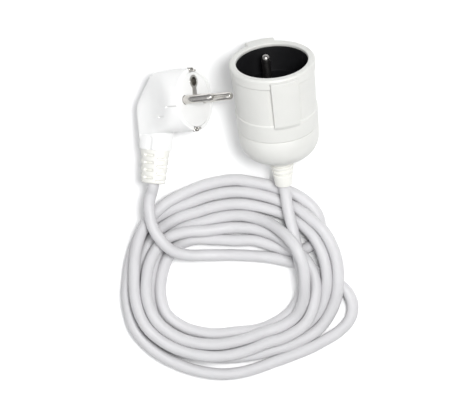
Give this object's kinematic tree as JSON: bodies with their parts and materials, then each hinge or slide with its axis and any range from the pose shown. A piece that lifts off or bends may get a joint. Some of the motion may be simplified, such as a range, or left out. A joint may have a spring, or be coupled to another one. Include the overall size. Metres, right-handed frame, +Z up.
{
  "type": "extension cord",
  "caption": "Domestic extension cord: right-angle earthed plug, round trailing socket with a male earth pin, and white flex laid in a loose oval coil.",
  "frame": {"origin": "on the floor, under the middle of the trailing socket as it lies", "axes": "+Z up, +Y along the trailing socket towards its mouth, +X across towards the plug pins' pointing side"},
  "size_m": [0.1348, 0.1959, 0.0619],
  "materials": {
    "white_shell": "fine satin moulded shell",
    "white_plug": "smooth satin moulding",
    "cream_flex": "soft satin moulding",
    "grey_flex": "soft satin cable jacket",
    "black_insert": "satin black",
    "white_insert": "matt moulded plastic",
    "nickel": "nickel plate",
    "brass": "stamped strip",
    "steel": "zinc-plated wire and screws",
    "core_brown": "core insulation",
    "core_blue": "core insulation",
    "core_earth": "core insulation"
  },
  "bodies": {
    "cord_set": {"socket_barrel": "white_shell", "socket_rear_cover": "white_shell", "contact_carrier": "black_insert", "earth_pin": "nickel", "shutter_pivot": "steel", "shutter_spring": "steel", "contact_base": "white_insert", "live_contact": "brass", "neutral_contact": "brass", "earth_strap": "brass", "core_live": "core_brown", "core_neutral": "core_blue", "core_earth": "core_earth", "cord_grip": "white_insert", "grip_screw_left": "steel", "grip_screw_right": "steel", "socket_strain_relief": "cream_flex", "plug_body": "white_plug", "plug_face_insert": "white_insert", "plug_pin_live": "nickel", "plug_pin_neutral": "nickel", "plug_earth_socket": "nickel", "plug_earth_strap": "nickel", "plug_strain_relief": "cream_flex", "plug_core_live": "core_brown", "plug_core_neutral": "core_blue", "plug_core_earth": "core_earth", "cord_coil": "grey_flex", "cord_socket_lead": "grey_flex", "cord_plug_lead": "grey_flex"},
    "shutter": {"shutter_rotor": "white_insert"}
  },
  "joints": [
    {"name": "shutter_turn", "type": "hinge", "parent": "cord_set", "child": "shutter", "pos_m": [0.00047, 0.01431, 0.03109], "axis": [-0.0278, 0.9363, 0.3502], "range_deg": [0, 36], "stiffness_Nm_per_rad": 0.002}
  ]
}
